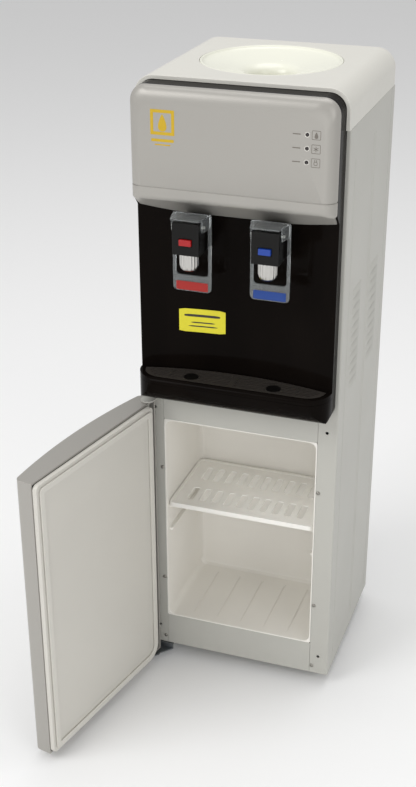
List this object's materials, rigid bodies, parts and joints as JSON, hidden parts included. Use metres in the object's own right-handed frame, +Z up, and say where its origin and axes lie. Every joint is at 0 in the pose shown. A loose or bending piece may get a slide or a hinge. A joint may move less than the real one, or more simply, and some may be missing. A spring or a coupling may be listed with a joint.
{
  "type": "water dispenser",
  "caption": "Floor-standing bottle-top water dispenser with hot and cold paddle taps, a drip tray and a storage cabinet whose hinged door stands open.",
  "frame": {"origin": "centre of the base pan's pressed underside, midway between the cabinet's front and back", "axes": "+Z up, -Y towards the user, +X to the user's right; the door hangs on the -X side"},
  "size_m": [0.3804, 0.593, 0.989],
  "materials": {
    "painted_steel": "semi-gloss pale grey powder coat",
    "pale_plastic": "satin moulded",
    "cream_plastic": "satin moulded",
    "silver_plastic": "satin silver-grey",
    "black_gloss": "high gloss",
    "black_plastic": "satin black",
    "liner_plastic": "satin moulded liner",
    "white_plastic": "satin white",
    "chrome": "polished",
    "clear_plastic": "clear moulded plastic",
    "red_plastic": "satin red",
    "blue_plastic": "satin blue",
    "rubber": "matte",
    "stainless": "brushed",
    "black_steel": "satin black enamel",
    "foam": "moulded polystyrene foam",
    "circuit_board": "solder mask",
    "silicone": "translucent silicone",
    "zinc": "zinc plated"
  },
  "bodies": {
    "cabinet": {"base_pan": "painted_steel", "foot_front_left": "rubber", "foot_front_right": "rubber", "foot_rear_left": "rubber", "foot_rear_right": "rubber", "side_panel_left": "painted_steel", "side_panel_right": "painted_steel", "back_panel": "painted_steel", "top_cover": "pale_plastic", "bottle_seat": "cream_plastic", "bottle_probe": "white_plastic", "front_frame": "black_gloss", "display_panel": "silver_plastic", "heating_indicator_lens": "black_plastic", "cooling_indicator_lens": "black_plastic", "power_indicator_lens": "black_plastic", "display_board": "circuit_board", "header_rail": "painted_steel", "plinth_panel": "painted_steel", "storage_tub": "liner_plastic", "storage_shelf": "white_plastic", "hot_tap_body": "black_plastic", "hot_spout": "chrome", "hot_lever_pin": "white_plastic", "cold_tap_body": "black_plastic", "cold_spout": "chrome", "cold_lever_pin": "white_plastic", "lower_hinge_bracket": "zinc", "upper_hinge_bracket": "painted_steel", "inner_deck": "painted_steel", "cold_tank": "stainless", "tank_insulation": "foam", "hot_tank": "stainless", "cold_hose": "silicone", "hot_hose": "silicone", "compressor": "black_steel", "filter_drier": "zinc", "condenser": "black_steel", "switch_bezel": "black_plastic", "cord_gland": "black_plastic", "column_screw_left_1": "zinc", "column_screw_left_2": "zinc", "column_screw_left_3": "zinc", "column_screw_right_1": "zinc", "column_screw_right_2": "zinc", "column_screw_right_3": "zinc"},
    "door": {"door_shell": "silver_plastic", "door_inner_panel": "liner_plastic", "door_gasket": "white_plastic", "door_bush_lower": "white_plastic", "door_bush_upper": "white_plastic"},
    "drip_tray": {"drip_tray": "black_gloss"},
    "drip_grille": {"drip_grille": "black_plastic"},
    "hot_lever": {"hot_lever": "clear_plastic"},
    "cold_lever": {"cold_lever": "clear_plastic"},
    "hot_lock_button": {"hot_lock_button": "red_plastic"},
    "cold_lock_button": {"cold_lock_button": "blue_plastic"},
    "heating_rocker": {"heating_rocker": "red_plastic"},
    "cooling_rocker": {"cooling_rocker": "black_plastic"},
    "drain_cap": {"drain_cap": "black_plastic"}
  },
  "joints": [
    {"name": "door_hinge", "type": "hinge", "parent": "cabinet", "child": "door", "pos_m": [-0.143, -0.161, 0.2], "axis": [0, 0, 1], "range_deg": [-15, 102]},
    {"name": "drip_tray_lift", "type": "slide", "parent": "cabinet", "child": "drip_tray", "axis": [0, 0, 1], "range_m": [0, 0.05]},
    {"name": "drip_grille_lift", "type": "slide", "parent": "drip_tray", "child": "drip_grille", "axis": [0, 0, 1], "range_m": [0, 0.03]},
    {"name": "hot_lever_press", "type": "hinge", "parent": "cabinet", "child": "hot_lever", "pos_m": [-0.058, -0.2, 0.774], "axis": [1, 0, 0], "range_deg": [0, 8], "stiffness_Nm_per_rad": 0.6, "springref_deg": -11.46},
    {"name": "cold_lever_press", "type": "hinge", "parent": "cabinet", "child": "cold_lever", "pos_m": [0.058, -0.2, 0.774], "axis": [1, 0, 0], "range_deg": [0, 8], "stiffness_Nm_per_rad": 0.6, "springref_deg": -11.46},
    {"name": "hot_lock_press", "type": "slide", "parent": "cabinet", "child": "hot_lock_button", "axis": [0, 1, 0], "range_m": [0, 0.0025], "stiffness_N_per_m": 300, "springref_m": -0.002},
    {"name": "cold_lock_press", "type": "slide", "parent": "cabinet", "child": "cold_lock_button", "axis": [0, 1, 0], "range_m": [0, 0.0025], "stiffness_N_per_m": 300, "springref_m": -0.002},
    {"name": "heating_switch", "type": "hinge", "parent": "cabinet", "child": "heating_rocker", "pos_m": [0.095, 0.1195, 0.82], "axis": [1, 0, 0], "range_deg": [-16, 0]},
    {"name": "cooling_switch", "type": "hinge", "parent": "cabinet", "child": "cooling_rocker", "pos_m": [0.095, 0.1195, 0.79], "axis": [1, 0, 0], "range_deg": [-16, 0]},
    {"name": "drain_cap_turn", "type": "hinge", "parent": "cabinet", "child": "drain_cap", "pos_m": [-0.095, 0.125, 0.072], "axis": [0, 1, 0], "range_deg": [0, 360]}
  ]
}
